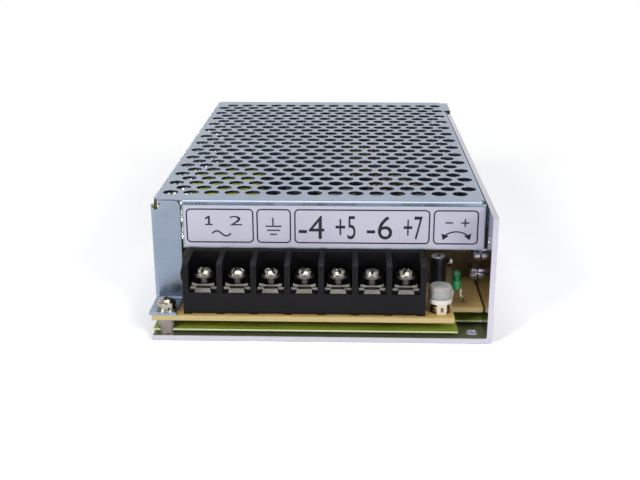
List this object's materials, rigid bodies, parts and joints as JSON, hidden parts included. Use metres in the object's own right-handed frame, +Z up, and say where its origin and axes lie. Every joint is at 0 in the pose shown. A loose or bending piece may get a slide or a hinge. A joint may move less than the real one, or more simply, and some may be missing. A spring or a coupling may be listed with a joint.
{
  "type": "mesh case switching power supply",
  "caption": "Low box-shaped power converter: folded metal angle and perforated folded cover around a circuit board, with a row of screw terminals at the open front.",
  "frame": {"origin": "middle of the footprint, on the underside of the base", "axes": "+Z up out of the perforated cover, +Y from the terminals to the back, +X towards the side wall of the metal angle"},
  "size_m": [0.097, 0.159, 0.038],
  "materials": {
    "cover_steel": "satin",
    "chassis_aluminium": "satin",
    "label_film": "satin",
    "board_laminate": "matte",
    "sheet_film": "gloss",
    "nickel": "polished",
    "block_moulding": "satin",
    "plated_contact": "polished",
    "trimmer_housing": "matte",
    "knob_plastic": "satin",
    "lamp_plastic": "gloss",
    "lead_wire": "polished",
    "black_sleeve": "satin",
    "yellow_case": "satin",
    "blue_coating": "gloss",
    "glass_tube": "gloss",
    "green_coating": "matte",
    "ferrite": "matte",
    "copper_wire": "gloss",
    "brown_sleeve": "satin",
    "yellow_tape": "gloss",
    "toroid_coat": "satin",
    "pad_film": "matte",
    "bar_metal": "bright",
    "white_package": "matte",
    "brown_laminate": "matte",
    "resistor_body": "matte"
  },
  "bodies": {
    "case": {"chassis": "chassis_aluminium", "cover": "cover_steel", "front_label": "label_film", "main_board": "board_laminate", "insulation_sheet": "sheet_film", "board_standoffs": "nickel", "board_screws": "nickel", "spring_washer": "nickel", "flat_washer": "nickel", "cover_screws": "nickel", "base_screws": "nickel", "terminal_block": "block_moulding", "terminal_plates": "plated_contact", "trimmer_body": "trimmer_housing", "lamp_lens": "lamp_plastic", "lamp_leads": "lead_wire", "small_capacitor": "black_sleeve", "x_capacitors": "yellow_case", "y_capacitors": "blue_coating", "fuse_tube": "glass_tube", "fuse_caps": "plated_contact", "thermistor": "green_coating", "line_choke_core": "ferrite", "line_choke_windings": "copper_wire", "bridge_rectifier": "black_sleeve", "bulk_capacitors": "brown_sleeve", "transformer_core": "ferrite", "transformer_bobbin": "black_sleeve", "transformer_winding": "yellow_tape", "output_choke_core": "toroid_coat", "output_choke_winding": "copper_wire", "output_capacitors": "brown_sleeve", "power_transistors": "black_sleeve", "thermal_pads": "pad_film", "clamp_bar": "bar_metal", "clamp_bar_screws": "nickel", "optocouplers": "white_package", "control_board": "brown_laminate", "resistors": "resistor_body"},
    "trimmer": {"trimmer_knob": "knob_plastic"},
    "clamp_1": {"wire_clamp_1": "plated_contact"},
    "screw_1": {"terminal_screw_1": "nickel"},
    "clamp_2": {"wire_clamp_2": "plated_contact"},
    "screw_2": {"terminal_screw_2": "nickel"},
    "clamp_3": {"wire_clamp_3": "plated_contact"},
    "screw_3": {"terminal_screw_3": "nickel"},
    "clamp_4": {"wire_clamp_4": "plated_contact"},
    "screw_4": {"terminal_screw_4": "nickel"},
    "clamp_5": {"wire_clamp_5": "plated_contact"},
    "screw_5": {"terminal_screw_5": "nickel"},
    "clamp_6": {"wire_clamp_6": "plated_contact"},
    "screw_6": {"terminal_screw_6": "nickel"},
    "clamp_7": {"wire_clamp_7": "plated_contact"},
    "screw_7": {"terminal_screw_7": "nickel"}
  },
  "joints": [
    {"name": "clamp_lift_1", "type": "slide", "parent": "case", "child": "clamp_1", "axis": [0, 0, 1], "range_m": [0, 0.0025]},
    {"name": "screw_turn_1", "type": "hinge", "parent": "clamp_1", "child": "screw_1", "pos_m": [-0.03285, -0.0741, 0.018], "axis": [0, 0, 1], "range_deg": [0, 1800]},
    {"name": "clamp_lift_2", "type": "slide", "parent": "case", "child": "clamp_2", "axis": [0, 0, 1], "range_m": [0, 0.0025]},
    {"name": "screw_turn_2", "type": "hinge", "parent": "clamp_2", "child": "screw_2", "pos_m": [-0.02335, -0.0741, 0.018], "axis": [0, 0, 1], "range_deg": [0, 1800]},
    {"name": "clamp_lift_3", "type": "slide", "parent": "case", "child": "clamp_3", "axis": [0, 0, 1], "range_m": [0, 0.0025]},
    {"name": "screw_turn_3", "type": "hinge", "parent": "clamp_3", "child": "screw_3", "pos_m": [-0.01385, -0.0741, 0.018], "axis": [0, 0, 1], "range_deg": [0, 1800]},
    {"name": "clamp_lift_4", "type": "slide", "parent": "case", "child": "clamp_4", "axis": [0, 0, 1], "range_m": [0, 0.0025]},
    {"name": "screw_turn_4", "type": "hinge", "parent": "clamp_4", "child": "screw_4", "pos_m": [-0.00435, -0.0741, 0.018], "axis": [0, 0, 1], "range_deg": [0, 1800]},
    {"name": "clamp_lift_5", "type": "slide", "parent": "case", "child": "clamp_5", "axis": [0, 0, 1], "range_m": [0, 0.0025]},
    {"name": "screw_turn_5", "type": "hinge", "parent": "clamp_5", "child": "screw_5", "pos_m": [0.00515, -0.0741, 0.018], "axis": [0, 0, 1], "range_deg": [0, 1800]},
    {"name": "clamp_lift_6", "type": "slide", "parent": "case", "child": "clamp_6", "axis": [0, 0, 1], "range_m": [0, 0.0025]},
    {"name": "screw_turn_6", "type": "hinge", "parent": "clamp_6", "child": "screw_6", "pos_m": [0.01465, -0.0741, 0.018], "axis": [0, 0, 1], "range_deg": [0, 1800]},
    {"name": "clamp_lift_7", "type": "slide", "parent": "case", "child": "clamp_7", "axis": [0, 0, 1], "range_m": [0, 0.0025]},
    {"name": "screw_turn_7", "type": "hinge", "parent": "clamp_7", "child": "screw_7", "pos_m": [0.02415, -0.0741, 0.018], "axis": [0, 0, 1], "range_deg": [0, 1800]},
    {"name": "trimmer_turn", "type": "hinge", "parent": "case", "child": "trimmer", "pos_m": [0.03405, -0.0739, 0.012], "axis": [0, 0, 1], "range_deg": [-135, 135]}
  ],
  "couplings": [
    {"joint": "screw_turn_1", "follows": "clamp_lift_1", "rad_per_m": 12566},
    {"joint": "screw_turn_2", "follows": "clamp_lift_2", "rad_per_m": 12566},
    {"joint": "screw_turn_3", "follows": "clamp_lift_3", "rad_per_m": 12566},
    {"joint": "screw_turn_4", "follows": "clamp_lift_4", "rad_per_m": 12566},
    {"joint": "screw_turn_5", "follows": "clamp_lift_5", "rad_per_m": 12566},
    {"joint": "screw_turn_6", "follows": "clamp_lift_6", "rad_per_m": 12566},
    {"joint": "screw_turn_7", "follows": "clamp_lift_7", "rad_per_m": 12566}
  ]
}
